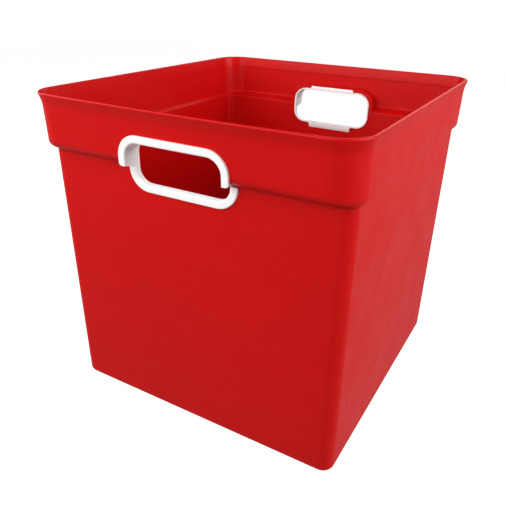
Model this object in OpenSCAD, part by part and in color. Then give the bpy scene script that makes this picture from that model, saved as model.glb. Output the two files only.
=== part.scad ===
// Open-top storage box with a stepped collar and two snap-in handle grips.
// Origin: middle of the bounding box, on the surface the box stands on. +Z up, front grip at -Y.

/* [Box] */
// Height from the standing surface to the rim
box_h = 267; // [240:1:300]
// Width over the lip, side wall to side wall
rim_w = 279; // [270:1:300]
// Depth over the lip, handle wall to handle wall, without the crown
rim_d = 301.4; // [292:0.1:320]
// Width of the walls at the standing surface
base_w = 246.6; // [235:0.1:252]
// Depth of the walls at the standing surface
base_d = 249.6; // [235:0.1:252]
// Wall thickness
wall = 2; // [1.6:0.1:2.6]
// Height of the inside floor
floor_z = 3.8; // [3:0.1:6]
// Outward crown of the front wall at the middle of its rim
front_crown = 4; // [0:0.5:5]
// Corner radius of the walls below the collar
body_corner_r = 10; // [8:0.5:14]
// Radius of the edge between the walls and the base
base_edge_r = 5; // [3:0.5:7]
// Depth of the shallow recess under the base
foot_h = 1.2; // [0.8:0.1:1.6]
// Width of the flat foot around the recess
foot_w = 9; // [6:1:14]

/* [Collar] */
// Height of the collar, from the inner edge of its shoulder to the rim
collar_h = 47.2; // [46:0.1:50]
// Overhang of the collar at each side wall
side_step = 3.9; // [3.6:0.1:5]
// Overhang of the collar at each handle wall
handle_step = 11; // [8:0.5:12]
// Rise of the shoulder towards its outer edge, in mm for each mm of overhang
shoulder_slope = 0.37; // [0.2:0.01:0.45]
// Outward lean of the collar, in mm for each mm of height
collar_draft = 0.05; // [0.02:0.01:0.07]
// Corner radius of the collar
collar_corner_r = 21.5; // [18:0.5:26]
// Radius of the collar's lower outer edge
collar_edge_r = 3.2; // [2:0.1:3.4]
// Thickness of the shoulder, up to the inside ledge
ledge_t = 3.6; // [2.5:0.1:5]
// Flare of the lip beyond the collar
lip_w = 2; // [1:0.1:2.5]
// Height over which the lip flares
lip_h = 8; // [6:0.5:10]
// Radius of the lip's rounded crest, which is thicker than the wall
lip_r = 1.5; // [1:0.1:1.7]

/* [Handle grips] */
// Height of the middle of the finger opening
grip_z = 222.9; // [222:0.1:225]
// Width of the finger opening
opening_w = 83; // [76:1:90]
// Height of the finger opening
opening_h = 34.4; // [32:0.2:36]
// Corner radius of the finger opening
opening_r = 11.5; // [9:0.5:14]
// Wall of the sleeve that lines the opening
sleeve_t = 1.5; // [1.2:0.1:2]
// Width of the flange around the sleeve
flange_w = 4.6; // [4:0.1:5.5]
// Thickness of the flange
flange_t = 1.6; // [1.2:0.1:2]
// How far the upper flange's legs reach below the collar's outer edge
upper_leg_drop = 2.5; // [1:0.1:3]
// How far the tops of the lower flange's legs lie below the shoulder
lower_leg_drop = 1; // [0:0.1:2]
// Gap behind the flange, which the crowned wall takes up
flange_gap = 0.55; // [0.5:0.05:0.8]
// Clearance around the sleeve in its hole
sleeve_gap = 0.3; // [0.2:0.05:0.5]
// How far the sleeve stands into the box
sleeve_proud = 1.6; // [1.4:0.1:2]
// Width of the snap hooks
hook_w = 47; // [40:1:56]
// Height of the upper snap hook
upper_hook_h = 2.6; // [2:0.1:3]
// Height of the lower snap hook
lower_hook_h = 5; // [3:0.1:6]
// Width of the boss face around the hole, inside the box
boss_w = 3.4; // [3:0.1:4]

/* [Hidden] */
$fn = 64;

// Segments of a quarter turn, and of the crowned front wall
corner_steps = 7;
front_steps = 12;
// The crown rises with this power of the height above the shoulder
crown_power = 4;
// Radii of the inside edges
ledge_edge_r = 1.6;
floor_edge_r = 5;
// Small gaps that keep faces from lying in one plane, and overshoot of the cutters
seat_gap = 0.15;
over = 30;

shoulder_z = box_h - collar_h;
ledge_z = shoulder_z + ledge_t;
// The ledge's plane, carried out to the outer face of the collar
ledge_corner_z = ledge_z + shoulder_slope * wall;
// The crown moves the middle of the bounding box forward by half its size
centre_y = front_crown / 2;

// Half sizes [x, y] of the outer faces at a height
function collar_half(z) =
    [rim_w / 2 - lip_w, rim_d / 2 - lip_w] - collar_draft * (box_h - z) * [1, 1];
body_top_half = collar_half(shoulder_z) - [side_step, handle_step];
body_draft = (body_top_half - [base_w, base_d] / 2) / shoulder_z;
function body_half(z) = [base_w, base_d] / 2 + body_draft * z;
function crown_at(z) = front_crown * pow(max(0, z - shoulder_z) / collar_h, crown_power);

// One closed outline of the box, each point as [corner sign x, corner sign y, normal x, normal y]
function corner_stations(sx, sy, from) = [
    for (i = [0 : corner_steps])
        let (a = from + 90 * i / corner_steps)
        [sx, sy, cos(a), sin(a)]
];
front_stations = [
    for (i = [1 : front_steps - 1])
        [2 * i / front_steps - 1, -1, 0, -1]
];
stations = concat(
    corner_stations(1, 1, 0),
    corner_stations(-1, 1, 90),
    corner_stations(-1, -1, 180),
    front_stations,
    corner_stations(1, -1, 270)
);
// The station's point on a rounded rectangle whose front side is crowned
function outline_point(s, half, r, z) =
    let (x = s[0] * (half.x - r) + s[2] * r)
    let (y = s[1] * (half.y - r) + s[3] * r)
    [x, y > 0 ? y : y - crown_at(z) * (1 - pow(x / half.x, 2)), z];
// Height of the shoulder's outer edge over its inner edge at a station
function shoulder_rise(s) =
    shoulder_slope * (side_step * pow(s[2], 2) + handle_step * pow(s[3], 2));
// A ring that lies `inset` inside the collar or the body, the collar's lifted by a share of the rise
function collar_ring(inset, base_z, share = 0) = [
    for (s = stations)
        let (z = base_z + share * shoulder_rise(s))
        outline_point(s, collar_half(z) - inset * [1, 1], collar_corner_r - inset, z)
];
function body_ring(inset, z) = [
    for (s = stations)
        outline_point(s, body_half(z) - inset * [1, 1], body_corner_r - inset, z)
];
// The same for rings that follow the slope of the shoulder or the ledge
function slope_ring(inset, z) = collar_ring(inset, z - shoulder_slope * inset, 1);

// The wall's section, from the standing face up the outside, over the lip and down the inside
quarter = [0 : 30 : 90];
base_edge = [
    for (a = quarter)
        body_ring(base_edge_r * (1 - sin(a)), base_edge_r * (1 - cos(a)))
];
collar_edge = [
    for (a = quarter)
        slope_ring(collar_edge_r * (1 - sin(a)), shoulder_z + collar_edge_r * (1 - cos(a)))
];
collar_outside = [
    for (t = [0.3, 0.5, 0.68])
        collar_ring(0, shoulder_z + t * collar_h, 1 - t)
];
// The wall flares and thickens into the lip, whose crest is half round
lip_shares = [0, 0.35, 0.7];
inner_flare = lip_w + wall - 2 * lip_r;
function lip_ring(inset, flare, t) =
    collar_ring(inset - flare * pow(t, 2), box_h - lip_r - lip_h * (1 - t));
lip = concat(
    [for (t = lip_shares) lip_ring(0, lip_w, t)],
    [
        for (a = [0 : 45 : 180])
            collar_ring(lip_r * (1 - cos(a)) - lip_w, box_h - lip_r * (1 - sin(a)))
    ],
    [for (k = [2 : -1 : 0]) lip_ring(wall, inner_flare, lip_shares[k])]
);
collar_inside = [
    for (t = [0.68, 0.5, 0.3])
        collar_ring(wall, shoulder_z + t * collar_h, 1 - t)
];
ledge_corner = [
    slope_ring(wall, ledge_corner_z + ledge_edge_r),
    slope_ring(wall + 0.3 * ledge_edge_r, ledge_corner_z + 0.3 * ledge_edge_r),
    slope_ring(wall + ledge_edge_r, ledge_corner_z)
];
// The ledge's inner edge is rounded where the side step leaves room for it
ledge_lip = [
    body_ring(wall - 0.15 * ledge_edge_r, ledge_z - 0.15 * ledge_edge_r),
    body_ring(wall, ledge_z - ledge_edge_r)
];
floor_edge = [
    for (a = [90 : -30 : 0])
        body_ring(wall + floor_edge_r * (1 - sin(a)), floor_z + floor_edge_r * (1 - cos(a)))
];
section = concat(
    base_edge,
    [body_ring(0, shoulder_z)],
    collar_edge,
    collar_outside,
    lip,
    collar_inside,
    ledge_corner,
    ledge_lip,
    floor_edge
);

// Skin through a list of rings, closed by a flat face at each end
module skin(rings) {
    n = len(rings[0]);
    last = len(rings) - 1;
    sides = [
        for (k = [0 : last - 1])
            for (i = [0 : n - 1])
                let (j = (i + 1) % n)
                each [
                    [k * n + i, (k + 1) * n + j, k * n + j],
                    [k * n + i, (k + 1) * n + i, (k + 1) * n + j]
                ]
    ];
    polyhedron(
        points = [for (r = rings) each r],
        faces = concat(
            [[for (i = [0 : n - 1]) i]],
            sides,
            [[for (i = [n - 1 : -1 : 0]) last * n + i]]
        )
    );
}

module rounded_rectangle(w, h, r) {
    square([w - 2 * r, h], center = true);
    square([w, h - 2 * r], center = true);
    for (sx = [-1, 1])
        for (sy = [-1, 1])
            translate([sx * (w / 2 - r), sy * (h / 2 - r)])
                circle(r);
}

// The opening's outline grown by `grow`
module opening_outline(grow) {
    rounded_rectangle(opening_w + 2 * grow, opening_h + 2 * grow, opening_r + grow);
}

// Prism along Y of the opening's outline, from the front of the box inwards
module opening_prism(grow) {
    translate([0, -rim_d / 2 - over, grip_z])
        rotate([-90, 0, 0])
            linear_extrude(rim_d / 2)
                opening_outline(grow);
}

// Prism along X of a section in [y, z]
module cross_prism(points, w) {
    translate([-w / 2, 0, 0])
        rotate([90, 0, 90])
            linear_extrude(w)
                polygon(points);
}

// Faces of the front wall in [y, z], moved outwards by `out`
function collar_face(out, z) = [-collar_half(z).y - out, z];
function body_face(out, z) = [-body_half(z).y - out, z];

flange_out = flange_gap + flange_t;
flange_grow = sleeve_t + flange_w;
flange_half_h = opening_h / 2 + flange_grow;
grip_top = grip_z + flange_half_h + 1;
grip_bottom = grip_z - flange_half_h - 1;
sleeve_half_h = opening_h / 2 + sleeve_t;
// The upper flange's legs end below the shoulder's outer edge, the lower flange's below its inner edge
upper_leg_z = shoulder_z + shoulder_slope * handle_step - upper_leg_drop;
lower_leg_z = shoulder_z - lower_leg_drop;

boss_foot_z = shoulder_z + ledge_t / 2;

// Boss of shell material that carries the upper half of a hole in to the plane of the body wall
module handle_boss() {
    intersection() {
        opening_prism(sleeve_t + sleeve_gap + boss_w);
        cross_prism([
            collar_face(-wall / 2, boss_foot_z + shoulder_slope * (handle_step - wall / 2)),
            collar_face(-wall / 2, grip_top + over),
            body_face(seat_gap - wall, grip_top + over),
            body_face(seat_gap - wall, boss_foot_z - shoulder_slope * (wall - seat_gap))
        ], rim_w / 2);
    }
}

module box_shell() {
    color("crimson")
        translate([0, centre_y, 0])
            difference() {
                union() {
                    skin(section);
                    for (turn = [0, 180])
                        rotate([0, 0, turn])
                            handle_boss();
                }
                for (turn = [0, 180])
                    rotate([0, 0, turn])
                        opening_prism(sleeve_t + sleeve_gap);
                translate([0, 0, -1])
                    linear_extrude(foot_h + 1)
                        rounded_rectangle(
                            base_w - 2 * (base_edge_r + foot_w),
                            base_d - 2 * (base_edge_r + foot_w),
                            body_corner_r
                        );
            }
}

// The whole depth of the grip in [y, z]: stepped face in front, end of the sleeve behind
function grip_section() = [
    body_face(flange_out, grip_bottom),
    body_face(flange_out, lower_leg_z),
    collar_face(flange_out, upper_leg_z),
    collar_face(flange_out, grip_top),
    body_face(-wall - sleeve_proud, grip_top),
    body_face(-wall - sleeve_proud, grip_bottom)
];

module sleeve() {
    intersection() {
        difference() {
            opening_prism(sleeve_t);
            opening_prism(0);
        }
        cross_prism(grip_section(), rim_w / 2);
    }
}

module flange() {
    intersection() {
        difference() {
            opening_prism(flange_grow);
            opening_prism(0);
        }
        union() {
            cross_prism([
                collar_face(flange_gap, upper_leg_z),
                collar_face(flange_out, upper_leg_z),
                collar_face(flange_out, grip_top),
                collar_face(flange_gap, grip_top)
            ], rim_w / 2);
            cross_prism([
                body_face(flange_gap, grip_bottom),
                body_face(flange_out, grip_bottom),
                body_face(flange_out, lower_leg_z),
                body_face(flange_gap, lower_leg_z)
            ], rim_w / 2);
        }
    }
}

// Wedge that catches the inside of the wall: `up` is 1 above the sleeve and -1 below it
module snap_hook(h, up) {
    root_z = grip_z + up * (sleeve_half_h - sleeve_t / 2);
    side_z = grip_z + up * sleeve_half_h;
    tip_z = side_z + up * h;
    cross_prism([
        body_face(-wall - seat_gap, root_z),
        body_face(-wall - seat_gap, tip_z),
        body_face(-wall - 0.6 * sleeve_proud, tip_z),
        body_face(-wall - sleeve_proud, side_z + up * h / 3),
        body_face(-wall - sleeve_proud, root_z)
    ], hook_w);
}

module handle_grip() {
    sleeve();
    flange();
    snap_hook(upper_hook_h, 1);
    snap_hook(lower_hook_h, -1);
}

module front_handle_grip() {
    color("white")
        translate([0, centre_y, 0])
            handle_grip();
}

module rear_handle_grip() {
    color("white")
        translate([0, centre_y, 0])
            rotate([0, 0, 180])
                handle_grip();
}

box_shell();
front_handle_grip();
rear_handle_grip();
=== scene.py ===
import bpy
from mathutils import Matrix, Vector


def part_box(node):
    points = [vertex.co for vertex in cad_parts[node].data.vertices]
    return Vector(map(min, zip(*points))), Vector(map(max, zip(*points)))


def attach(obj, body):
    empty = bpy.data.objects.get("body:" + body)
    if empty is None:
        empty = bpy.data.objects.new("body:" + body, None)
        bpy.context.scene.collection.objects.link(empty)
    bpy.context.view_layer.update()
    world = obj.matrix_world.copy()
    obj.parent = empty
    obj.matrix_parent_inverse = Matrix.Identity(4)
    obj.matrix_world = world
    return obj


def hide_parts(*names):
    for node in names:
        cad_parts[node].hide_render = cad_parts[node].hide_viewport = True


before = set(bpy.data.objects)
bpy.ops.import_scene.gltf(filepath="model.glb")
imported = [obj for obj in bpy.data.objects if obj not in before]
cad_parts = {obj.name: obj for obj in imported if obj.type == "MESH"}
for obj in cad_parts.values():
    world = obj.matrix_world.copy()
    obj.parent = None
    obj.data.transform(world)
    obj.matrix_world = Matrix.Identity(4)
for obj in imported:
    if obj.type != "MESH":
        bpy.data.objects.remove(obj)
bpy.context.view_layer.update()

import math

import bmesh
import bpy
from mathutils import Matrix, Vector

MM = 0.001

# ---------------------------------------------------------------------------
# Dimensions of the box, in metres. The height comes from the CAD node.
# ---------------------------------------------------------------------------
BOX_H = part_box("box_shell")[1].z
RIM_HALF_X = 139.5 * MM
RIM_HALF_Y = 150.7 * MM
CENTRE_Y = 2 * MM
FRONT_CROWN = 3.75 * MM
CROWN_POWER = 3
BASE_HALF_X = 123.3 * MM
BASE_HALF_Y = 124.8 * MM
WALL = 2 * MM
FLOOR_Z = 3.8 * MM
FLOOR_EDGE_R = 5 * MM
BODY_CORNER_R = 10 * MM
BASE_EDGE_R = 5 * MM
FOOT_H = 1.2 * MM
FOOT_W = 9 * MM
COLLAR_H = 47.2 * MM
SIDE_STEP = 3.9 * MM
HANDLE_STEP = 11 * MM
SHOULDER_SLOPE = 0.37
COLLAR_DRAFT = 0.05
COLLAR_CORNER_R = 21.5 * MM
COLLAR_EDGE_R = 3.2 * MM
HANDLE_EDGE_R = 5 * MM
SIDE_CREASE_R = 0.55 * MM
HANDLE_CREASE_R = 2.2 * MM
LEDGE_T = 3.6 * MM
LEDGE_CORNER_R = 1.4 * MM
LIP_W = 2 * MM
LIP_H = 9.5 * MM
LIP_R = 1.5 * MM
FLARE_POWER = 1.6

GRIP_Z = 222.9 * MM
OPENING_HALF_X = 41.5 * MM
OPENING_HALF_Z = 17.2 * MM
OPENING_R = 11.5 * MM
SLEEVE_T = 1.5 * MM
SLEEVE_GAP = 0.3 * MM
SLEEVE_PROUD = 1.6 * MM
FLANGE_W = 4.6 * MM
FLANGE_OUT = 2.0 * MM
FLANGE_BACK = 0.12 * MM
HOOK_HALF = 23.5 * MM
UPPER_HOOK_H = 2.6 * MM
LOWER_HOOK_H = 5 * MM
BOSS_W = 3.4 * MM
BOSS_EDGE_R = 1 * MM
SEAT_GAP = 0.15 * MM

SHOULDER_Z = BOX_H - COLLAR_H
LEDGE_Z = SHOULDER_Z + LEDGE_T
UPPER_LEG_Z = SHOULDER_Z + SHOULDER_SLOPE * HANDLE_STEP - 2.5 * MM
LOWER_LEG_Z = SHOULDER_Z - 1 * MM


def collar_half(z):
    """Half sizes of the collar's outer faces at height z."""
    lean = COLLAR_DRAFT * (BOX_H - z)
    return RIM_HALF_X - LIP_W - lean, RIM_HALF_Y - LIP_W - lean


def body_half(z):
    """Half sizes of the body's outer faces at height z."""
    top_x, top_y = collar_half(SHOULDER_Z)
    share = z / SHOULDER_Z
    half_x = BASE_HALF_X + (top_x - SIDE_STEP - BASE_HALF_X) * share
    half_y = BASE_HALF_Y + (top_y - HANDLE_STEP - BASE_HALF_Y) * share
    return half_x, half_y


def crown(x, z, half_x):
    """How far the front wall stands out of its plane."""
    rise = max(0.0, z - SHOULDER_Z) / COLLAR_H
    return FRONT_CROWN * rise**CROWN_POWER * (1 - (x / half_x) ** 2)


# ---------------------------------------------------------------------------
# Mesh helpers
# ---------------------------------------------------------------------------
def quarter(steps, start=0.0):
    return [math.radians(start + 90 * i / steps) for i in range(steps + 1)]


def stations(corner_steps, side_steps):
    """Points of a rounded rectangle as (corner sign x, corner sign y, normal x, normal y)."""
    signs = [(1, 1), (-1, 1), (-1, -1), (1, -1)]
    points = []
    for k, (sx, sy) in enumerate(signs):
        points += [(sx, sy, math.cos(a), math.sin(a)) for a in quarter(corner_steps, 90 * k)]
        to_x, to_y = signs[(k + 1) % 4]
        nx, ny = points[-1][2:]
        for i in range(1, side_steps):
            t = i / side_steps
            points.append((sx + (to_x - sx) * t, sy + (to_y - sy) * t, nx, ny))
    return points


def outline_point(station, half, r):
    sx, sy, nx, ny = station
    return sx * (half[0] - r) + r * nx, sy * (half[1] - r) + r * ny


def rounded_rectangle(half, r, corner_steps):
    return [outline_point(s, half, r) for s in stations(corner_steps, 1)]


def skin(rings, name):
    """Closed mesh through a list of rings of equal length, with a flat cap at each end."""
    mesh = bpy.data.meshes.new(name)
    bm = bmesh.new()
    rows = [[bm.verts.new(p) for p in ring] for ring in rings]
    count = len(rows[0])
    for low, high in zip(rows, rows[1:]):
        for i in range(count):
            j = (i + 1) % count
            bm.faces.new((low[i], low[j], high[j], high[i]))
    bm.faces.new(list(reversed(rows[0])))
    bm.faces.new(rows[-1])
    bmesh.ops.recalc_face_normals(bm, faces=bm.faces)
    bm.to_mesh(mesh)
    bm.free()
    piece = bpy.data.objects.new(name, mesh)
    bpy.context.scene.collection.objects.link(piece)
    return piece


def apply_modifiers(piece):
    """Replaces the piece's mesh by what its modifiers make of it."""
    bpy.context.view_layer.update()
    graph = bpy.context.evaluated_depsgraph_get()
    made = bpy.data.meshes.new_from_object(piece.evaluated_get(graph))
    piece.modifiers.clear()
    piece.data = made


def boolean(piece, tool, operation):
    """Joins the tool to the piece, or cuts it out, and removes the tool."""
    step = piece.modifiers.new("boolean", "BOOLEAN")
    step.operation = operation
    step.solver = "EXACT"
    step.object = tool
    apply_modifiers(piece)
    bpy.data.objects.remove(tool)


def smooth_by_angle(piece, limit):
    """Smooth shading with sharp edges where faces meet at more than the limit, in degrees."""
    bm = bmesh.new()
    bm.from_mesh(piece.data)
    for face in bm.faces:
        face.smooth = True
    for edge in bm.edges:
        edge.smooth = len(edge.link_faces) == 2 and edge.calc_face_angle() < math.radians(limit)
    bm.to_mesh(piece.data)
    bm.free()
    weigh = piece.modifiers.new("weigh normals", "WEIGHTED_NORMAL")
    weigh.keep_sharp = True
    apply_modifiers(piece)


# ---------------------------------------------------------------------------
# The moulded shell
# ---------------------------------------------------------------------------
STATIONS = stations(16, 24)


def step_at(station):
    """Width of the step between the body and the collar."""
    nx, ny = station[2:]
    return SIDE_STEP * nx**2 + HANDLE_STEP * ny**2


def crowned_point(station, half, r, z):
    x, y = outline_point(station, half, r)
    if y < 0:
        y -= crown(x, z, half[0])
    return x, y + CENTRE_Y, z


def shell_ring(half_at, r, inset, base_z, share=0.0):
    """Ring `inset` inside a surface, lifted by a share of the shoulder's rise."""
    ring = []
    for s in STATIONS:
        z = base_z + share * SHOULDER_SLOPE * step_at(s)
        ring.append(crowned_point(s, [h - inset for h in half_at(z)], r - inset, z))
    return ring


def collar_ring(inset, z, share=0.0):
    return shell_ring(collar_half, COLLAR_CORNER_R, inset, z, share)


def body_ring(inset, z):
    return shell_ring(body_half, BODY_CORNER_R, inset, z)


def plain_ring(half, r, z):
    return shell_ring(lambda _: (half, half), r, 0, z)


def underside_rings():
    """Moulding gate, recess, flat foot and rounded lower edge."""
    gate = ((1.6 * MM, 0.1 * MM), (2.2 * MM, 0.5 * MM), (6.5 * MM, 0.55 * MM), (8.5 * MM, 0))
    rings = [plain_ring(r, 0.98 * r, FOOT_H + z) for r, z in gate]
    rings.append(plain_ring(60 * MM, 20 * MM, FOOT_H))
    soft = 0.8 * MM
    inner = BASE_EDGE_R + FOOT_W
    for out, z in (
        (soft, FOOT_H),
        (0.3 * soft, FOOT_H - 0.3 * soft),
        (0, 0.4 * FOOT_H),
        (-0.3 * soft, 0.1 * FOOT_H),
        (-soft, 0),
    ):
        rings.append(shell_ring(lambda _: body_half(0), BODY_CORNER_R + inner, inner + out, z))
    rings += [
        body_ring(BASE_EDGE_R * (1 - math.sin(a)), BASE_EDGE_R * (1 - math.cos(a))) for a in quarter(8)
    ]
    return rings


def collar_heights(inset):
    """The shoulder's rise fades out towards the lip."""
    heights = (0.25, 0.4, 0.52, 0.62, 0.7, 0.76)
    return [collar_ring(inset, SHOULDER_Z + COLLAR_H * t, 1 - t) for t in heights]


def crease_ring(a):
    """Fillet between the body and the shoulder, narrower at the side walls."""
    ring = []
    for s in STATIONS:
        nx, ny = s[2:]
        r = SIDE_CREASE_R + (HANDLE_CREASE_R - SIDE_CREASE_R) * ny**2
        out = r * (1 - math.cos(a))
        z = SHOULDER_Z - r * (1 - math.sin(a)) + SHOULDER_SLOPE * out
        x, y = outline_point(s, body_half(z), BODY_CORNER_R)
        ring.append((x + out * nx, y + out * ny + CENTRE_Y, z))
    return ring


def edge_ring(a):
    """Rounded lower edge of the collar, wider at the handle walls."""
    ring = []
    for s in STATIONS:
        r = COLLAR_EDGE_R + (HANDLE_EDGE_R - COLLAR_EDGE_R) * s[3] ** 2
        inset = r * (1 - math.sin(a))
        z = SHOULDER_Z + r * (1 - math.cos(a)) + SHOULDER_SLOPE * (step_at(s) - inset)
        half = [h - inset for h in collar_half(z)]
        ring.append(crowned_point(s, half, COLLAR_CORNER_R - inset, z))
    return ring


def outside_rings():
    """Body wall, shoulder and collar."""
    rings = [body_ring(0, SHOULDER_Z * t) for t in (0.2, 0.4, 0.6, 0.8, 0.95)]
    rings += [crease_ring(a) for a in quarter(5)]
    rings += [edge_ring(a) for a in quarter(10)]
    return rings + collar_heights(0)


def lip_rings():
    """The wall flares outwards and thickens into a lip with a half-round crest."""

    def flared(inset, flare, t):
        return collar_ring(inset - flare * t**FLARE_POWER, BOX_H - LIP_R - LIP_H * (1 - t))

    flare_steps, crest_steps = 8, 12
    shares = [i / flare_steps for i in range(flare_steps)]
    rings = [flared(0, LIP_W, t) for t in shares]
    for i in range(crest_steps + 1):
        a = math.pi * i / crest_steps
        rings.append(collar_ring(LIP_R * (1 - math.cos(a)) - LIP_W, BOX_H - LIP_R * (1 - math.sin(a))))
    return rings + [flared(WALL, LIP_W + WALL - 2 * LIP_R, t) for t in reversed(shares)]


def ledge_corner_ring(a):
    """Fillet between the inside of the collar and the ledge."""
    ring = []
    for s in STATIONS:
        inset = WALL + LEDGE_CORNER_R * (1 - math.cos(a))
        z = LEDGE_Z + LEDGE_CORNER_R * (1 - math.sin(a)) + SHOULDER_SLOPE * (WALL + step_at(s) - inset)
        half = [h - inset for h in collar_half(z)]
        x, y = outline_point(s, half, COLLAR_CORNER_R - inset)
        ring.append((x, y + CENTRE_Y, z))
    return ring


def inside_rings():
    """Collar wall, sloped ledge with a groove and a bead at its edge, body wall and floor."""
    rings = collar_heights(WALL)[::-1]
    rings += [ledge_corner_ring(a) for a in quarter(6)]
    groove = ((2.1, 0), (1.7, -0.35), (1.35, -0.85), (1.1, -0.95), (0.8, -0.5))
    bead = ((0.55, 0), (0.3, 0), (0.08, -0.15), (0, -0.5))
    for run, rise in groove + bead:
        rings.append(body_ring(WALL - run * MM, LEDGE_Z + (SHOULDER_SLOPE * run + rise) * MM))
    rings += [body_ring(WALL, SHOULDER_Z * t) for t in (0.95, 0.8, 0.6, 0.4, 0.2)]
    rings += [
        body_ring(WALL + FLOOR_EDGE_R * (1 - math.cos(a)), FLOOR_Z + FLOOR_EDGE_R * (1 - math.sin(a)))
        for a in quarter(8)
    ]
    return rings


def opening_outline(grow, steps):
    half = (OPENING_HALF_X + grow, OPENING_HALF_Z + grow)
    return rounded_rectangle(half, OPENING_R + grow, steps)


def turned(points, turn):
    """Points of the front handle area, or turned half round for the rear one."""
    sign = -1 if turn else 1
    return [(sign * x, sign * y + CENTRE_Y, z) for x, y, z in points]


def hole_cutter(turn):
    outline = opening_outline(SLEEVE_T + SLEEVE_GAP, 20)
    near, far = -RIM_HALF_Y - 20 * MM, -RIM_HALF_Y + 40 * MM
    rings = [turned([(x, y, GRIP_Z + z) for x, z in outline], turn) for y in (near, far)]
    return skin(rings, "hole_cutter")


def boss_rings(turn):
    """Upper part of the boss: shell material that reaches in to the plane of the body wall."""
    grow = SLEEVE_T + SLEEVE_GAP + BOSS_W
    foot_z = SHOULDER_Z + LEDGE_T / 2
    outer_foot_z = foot_z + SHOULDER_SLOPE * (HANDLE_STEP - WALL / 2)
    inner_foot_z = foot_z - SHOULDER_SLOPE * (WALL - SEAT_GAP)
    root = []
    for x, z in opening_outline(grow, 20):
        z = max(GRIP_Z + z, outer_foot_z)
        root.append((x, -collar_half(z)[1] + WALL / 2, z))
    rings = [turned(root, turn)]
    for a in quarter(4):
        ring = []
        for x, z in opening_outline(grow - BOSS_EDGE_R * (1 - math.cos(a)), 20):
            z = max(GRIP_Z + z, inner_foot_z)
            y = -body_half(z)[1] + WALL - SEAT_GAP - BOSS_EDGE_R * (1 - math.sin(a))
            ring.append((x, y, z))
        rings.append(turned(ring, turn))
    return rings


def boss(turn):
    """The rings' flattened foot has points in one place, so the block is built without them."""
    rings = boss_rings(turn)
    tiny = 0.02 * MM

    def stands_apart(i):
        return all((Vector(ring[i]) - Vector(ring[i - 1])).length > tiny for ring in rings)

    keep = [i for i in range(len(rings[0])) if stands_apart(i)]
    return skin([[ring[i] for i in keep] for ring in rings], "boss")


def build_shell():
    rings = underside_rings() + outside_rings() + lip_rings() + inside_rings()
    shell = skin(rings, "shell")
    for turn in (False, True):
        boolean(shell, boss(turn), "UNION")
    for turn in (False, True):
        boolean(shell, hole_cutter(turn), "DIFFERENCE")
    smooth_by_angle(shell, 32)
    return shell


# ---------------------------------------------------------------------------
# The handle grips
# ---------------------------------------------------------------------------
BELL_R = 1.4 * MM
RIM_R = 0.9 * MM
END_R = 0.4 * MM
UPPER_LEG_R = 2.2 * MM
LOWER_LEG_R = 1.2 * MM


def grip_path():
    """Rows round the opening: base point, outward direction, upper half or not, hook height, plate width."""
    cx = OPENING_HALF_X - OPENING_R
    cz = OPENING_HALF_Z - OPENING_R
    full = SLEEVE_T + FLANGE_W
    rows = []

    def row(x, z, nx, nz, upper, hook=0.0, plate=full):
        rows.append((x, z, nx, nz, upper, hook, plate))

    def side(sign, heights):
        for z, upper, plate in heights:
            row(sign * OPENING_HALF_X, z, sign, 0, upper, 0.0, plate)

    def corner(sx, sz, start):
        for a in quarter(14, start):
            x = sx * cx + OPENING_R * math.cos(a)
            z = GRIP_Z + sz * cz + OPENING_R * math.sin(a)
            row(x, z, math.cos(a), math.sin(a), sz > 0)

    def straight(direction, sz, hook_h):
        ramp = 1.2 * MM
        stops = [-cx * 0.9, -HOOK_HALF - ramp, -HOOK_HALF, -18 * MM, -12 * MM, -6 * MM, 0]
        stops += [-s for s in reversed(stops[:-1])]
        for s in stops:
            hook = hook_h if abs(s) <= HOOK_HALF + 0.01 * MM else 0.0
            row(direction * s, GRIP_Z + sz * OPENING_HALF_Z, 0, sz, sz > 0, hook)

    upper_leg = [
        (UPPER_LEG_Z + UPPER_LEG_R * (1 - math.cos(a)), True, full - UPPER_LEG_R * (1 - math.sin(a)))
        for a in quarter(4)
    ]
    lower_leg = [
        (LOWER_LEG_Z - LOWER_LEG_R * (1 - math.cos(a)), False, full - LOWER_LEG_R * (1 - math.sin(a)))
        for a in quarter(4)
    ]
    side(1, list(reversed(lower_leg)) + upper_leg)
    corner(1, 1, 0)
    straight(-1, 1, UPPER_HOOK_H)
    corner(-1, 1, 90)
    side(-1, list(reversed(upper_leg)) + lower_leg)
    corner(-1, -1, 180)
    straight(1, -1, LOWER_HOOK_H)
    corner(1, -1, 270)
    return rows


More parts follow.
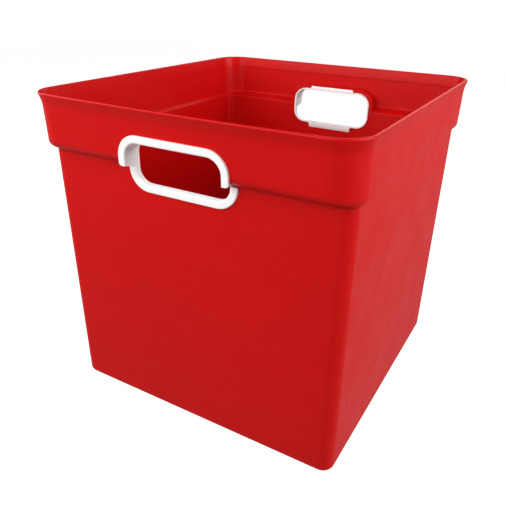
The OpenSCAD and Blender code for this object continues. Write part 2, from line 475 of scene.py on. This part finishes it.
def grip_section(row, crowned):
    """Points of one row's section, and the first and last index of its flange plate."""
    bx, bz, nx, nz, upper, hook, plate = row

    def place(n, kind, depth):
        x, z = bx + n * nx, bz + n * nz
        if kind == "end":
            y = -body_half(z)[1] + WALL + SLEEVE_PROUD - depth
        elif kind == "catch":
            y = -body_half(z)[1] + WALL + SEAT_GAP + depth
        elif upper:
            half_x, half_y = collar_half(z)
            y = -half_y - (crown(x, z, half_x) if crowned else 0) + depth
        else:
            y = -body_half(z)[1] + depth
        return x, y, z

    front = -FLANGE_OUT
    points = [
        place(END_R, "end", 0),
        place(0.3 * END_R, "end", 0.3 * END_R),
        place(0, "end", END_R),
        place(0, "wall", front + BELL_R),
    ]
    for a in quarter(5)[1:]:
        points.append(place(BELL_R * (1 - math.cos(a)), "wall", front + BELL_R * (1 - math.sin(a))))
    first = len(points)
    points.append(place(SLEEVE_T, "wall", front))
    for a in quarter(4):
        points.append(place(plate - RIM_R + RIM_R * math.sin(a), "wall", front + RIM_R * (1 - math.cos(a))))
    points.append(place(plate, "wall", -FLANGE_BACK))
    last = len(points)
    points.append(place(SLEEVE_T, "wall", -FLANGE_BACK))
    points += [
        place(SLEEVE_T, "catch", 0),
        place(SLEEVE_T + hook, "catch", 0 if hook else 0.3 * MM),
        place(SLEEVE_T + hook, "catch", 0.6 * MM),
        place(SLEEVE_T + 0.55 * hook, "end", 0.15 * MM if hook else END_R),
        place(SLEEVE_T + (0.45 * hook or -0.3 * END_R), "end", 0 if hook else 0.3 * END_R),
        place(SLEEVE_T - END_R, "end", 0),
    ]
    return points, first, last


def build_grip(name, turn):
    rows = grip_path()
    bm = bmesh.new()
    made = []
    for row in rows:
        points, first, last = grip_section(row, crowned=not turn)
        made.append([bm.verts.new(p) for p in turned(points, turn)])
    columns = len(made[0])
    for k, row in enumerate(rows):
        here, there = made[k], made[(k + 1) % len(rows)]
        stepped = row[4] != rows[(k + 1) % len(rows)][4]
        for i in range(columns):
            j = (i + 1) % columns
            if stepped and first <= i < last:
                continue
            bm.faces.new((here[i], here[j], there[j], there[i]))
        if stepped:
            bm.faces.new((here[first], here[last], there[last], there[first]))
            bm.faces.new(here[first:last + 1])
            bm.faces.new(list(reversed(there[first:last + 1])))
    bmesh.ops.recalc_face_normals(bm, faces=bm.faces)
    mesh = bpy.data.meshes.new(name)
    bm.to_mesh(mesh)
    bm.free()
    grip = bpy.data.objects.new(name, mesh)
    bpy.context.scene.collection.objects.link(grip)
    smooth_by_angle(grip, 40)
    return grip


# ---------------------------------------------------------------------------
# Materials
# ---------------------------------------------------------------------------
def plastic(name, colour, deep, roughness, specular, grain, scatter):
    """Moulded plastic: slightly uneven colour and gloss, faint scuffs and a fine satin grain."""
    material = bpy.data.materials.new(name)
    material.use_nodes = True
    nodes, links = material.node_tree.nodes, material.node_tree.links
    shader = nodes["Principled BSDF"]
    place = nodes.new("ShaderNodeTexCoord")

    def noise(scale, detail, squeeze=(1, 1, 1), turn=(0, 0, 0)):
        texture = nodes.new("ShaderNodeTexNoise")
        texture.inputs["Scale"].default_value = scale
        texture.inputs["Detail"].default_value = detail
        mapping = nodes.new("ShaderNodeMapping")
        mapping.inputs["Scale"].default_value = squeeze
        mapping.inputs["Rotation"].default_value = turn
        links.new(place.outputs["Object"], mapping.inputs["Vector"])
        links.new(mapping.outputs["Vector"], texture.inputs["Vector"])
        return texture.outputs["Fac"]

    def remap(value, low, high, start=0.3, end=0.7):
        node = nodes.new("ShaderNodeMapRange")
        node.inputs["From Min"].default_value = start
        node.inputs["From Max"].default_value = end
        node.inputs["To Min"].default_value = low
        node.inputs["To Max"].default_value = high
        links.new(value, node.inputs["Value"])
        return node.outputs["Result"]

    def bump(height, strength, distance, below=None):
        node = nodes.new("ShaderNodeBump")
        node.inputs["Strength"].default_value = strength
        node.inputs["Distance"].default_value = distance
        links.new(height, node.inputs["Height"])
        if below:
            links.new(below, node.inputs["Normal"])
        return node.outputs["Normal"]

    mix = nodes.new("ShaderNodeMix")
    mix.data_type = "RGBA"
    mix.inputs[6].default_value = (*deep, 1)
    mix.inputs[7].default_value = (*colour, 1)
    links.new(remap(noise(9, 3), 0, 1), mix.inputs[0])
    links.new(mix.outputs[2], shader.inputs["Base Color"])
    scuffs = remap(noise(170, 2, (0.06, 1, 1), (0.3, 0.5, 0.4)), 0, 0.12, 0.66, 0.76)
    gloss = nodes.new("ShaderNodeMath")
    links.new(remap(noise(30, 4), roughness - 0.04, roughness + 0.05), gloss.inputs[0])
    links.new(scuffs, gloss.inputs[1])
    links.new(gloss.outputs[0], shader.inputs["Roughness"])
    shader.inputs["Specular IOR Level"].default_value = specular
    shader.inputs["Subsurface Weight"].default_value = scatter
    shader.inputs["Subsurface Scale"].default_value = 1.5 * MM
    sink = bump(noise(7, 1), 0.25, 1.5 * MM)
    links.new(bump(noise(2600, 2), grain, 0.05 * MM, sink), shader.inputs["Normal"])
    return material


def finish_piece(piece, node, material):
    piece.data.materials.clear()
    piece.data.materials.append(material)
    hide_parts(node)
    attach(piece, "root")


# ---------------------------------------------------------------------------
# Camera, floor and lights
# ---------------------------------------------------------------------------
def view_axes(azimuth, elevation, roll):
    """Right, up and back of a view; azimuth 0 looks along +Y."""
    a, e, r = (math.radians(v) for v in (azimuth, elevation, roll))
    back = Vector((math.sin(a) * math.cos(e), -math.cos(a) * math.cos(e), math.sin(e)))
    level = Vector((math.cos(a), math.sin(a), 0))
    upright = back.cross(level)
    right = math.cos(r) * level + math.sin(r) * upright
    return right, back.cross(right), back


def add_camera():
    right, up, back = view_axes(29.9, 18.56, 1.2)
    middle = Vector((0, CENTRE_Y, BOX_H / 2))
    aim = middle - 16.0 * MM * right + 41.4 * MM * up
    camera = bpy.data.cameras.new("camera")
    camera.sensor_width = 36
    camera.lens = 41.69
    camera.shift_y = -0.1436
    holder = bpy.data.objects.new("camera", camera)
    turn = Matrix((right, up, back)).transposed().to_4x4()
    holder.matrix_world = Matrix.Translation(aim + 0.5563 * back) @ turn
    bpy.context.scene.collection.objects.link(holder)
    bpy.context.scene.camera = holder


def add_floor():
    """Pale floor, with walls and a ceiling of the same paint beyond the lights."""
    side = 2.5
    mesh = bpy.data.meshes.new("floor")
    plan = ((-side, -side), (side, -side), (side, side), (-side, side))
    corners = [(x, y, z) for z in (0, side) for x, y in plan]
    walls = [(i, (i + 1) % 4, (i + 1) % 4 + 4, i + 4) for i in range(4)]
    mesh.from_pydata(corners, [], [(0, 1, 2, 3), (4, 5, 6, 7), *walls])
    floor = bpy.data.objects.new("floor", mesh)
    bpy.context.scene.collection.objects.link(floor)
    material = bpy.data.materials.new("floor_paint")
    material.use_nodes = True
    shader = material.node_tree.nodes["Principled BSDF"]
    shader.inputs["Base Color"].default_value = (0.35, 0.35, 0.35, 1)
    shader.inputs["Roughness"].default_value = 0.9
    shader.inputs["Specular IOR Level"].default_value = 0
    shader.inputs["Emission Color"].default_value = (1, 1, 1, 1)
    shader.inputs["Emission Strength"].default_value = 0.98
    mesh.materials.append(material)
    floor.visible_diffuse = False
    floor.visible_glossy = False
    floor.visible_shadow = False


def softbox(name, azimuth, elevation, distance, size, power):
    """Square area light that faces the box from a direction given as for a view."""
    light = bpy.data.lights.new(name, "AREA")
    light.size = size
    light.energy = power
    holder = bpy.data.objects.new(name, light)
    middle = Vector((0, 0, BOX_H / 2))
    right, up, back = view_axes(azimuth, elevation, 0)
    turn = Matrix((right, up, back)).transposed().to_4x4()
    holder.matrix_world = Matrix.Translation(middle + distance * back) @ turn
    bpy.context.scene.collection.objects.link(holder)


def add_lights():
    """Soft boxes in front, at both sides and behind, and the glow of a pale table from below."""
    world = bpy.data.worlds.new("studio")
    bpy.context.scene.world = world
    world.use_nodes = True
    nodes, links = world.node_tree.nodes, world.node_tree.links
    direction = nodes.new("ShaderNodeTexCoord")
    axes = nodes.new("ShaderNodeSeparateXYZ")
    strength = nodes.new("ShaderNodeMapRange")
    strength.inputs["From Min"].default_value = -0.1
    strength.inputs["From Max"].default_value = 0.1
    strength.inputs["To Min"].default_value = 0.34
    strength.inputs["To Max"].default_value = 0
    links.new(direction.outputs["Generated"], axes.inputs[0])
    links.new(axes.outputs["Z"], strength.inputs["Value"])
    links.new(strength.outputs["Result"], nodes["Background"].inputs["Strength"])
    nodes["Background"].inputs["Color"].default_value = (1, 1, 1, 1)
    softbox("key", -13, 22, 1.1, 0.8, 6.5)
    softbox("front_right", 50, 25, 1.1, 0.8, 0.5)
    softbox("key_high", -10, 42, 1.1, 0.8, 3.8)
    softbox("left", -68, 30, 1.1, 0.8, 8.0)
    softbox("right_high", 100, 31, 1.1, 0.8, 9.8)
    softbox("right_low", 92, 10, 1.1, 0.6, 4.2)
    softbox("back", 180, 30, 1.1, 0.8, 3.0)
    view = bpy.context.scene.view_settings
    view.view_transform = "Standard"
    view.look = "None"


shell_red = plastic("red_plastic", (0.56, 0.003, 0.003), (0.53, 0.0027, 0.0027), 0.38, 0.13, 0.12, 0.0)
grip_white = plastic("white_plastic", (0.92, 0.91, 0.91), (0.89, 0.88, 0.88), 0.38, 0.35, 0.08, 0.1)
finish_piece(build_shell(), "box_shell", shell_red)
finish_piece(build_grip("front_grip", False), "front_handle_grip", grip_white)
finish_piece(build_grip("rear_grip", True), "rear_handle_grip", grip_white)
add_camera()
add_floor()
add_lights()
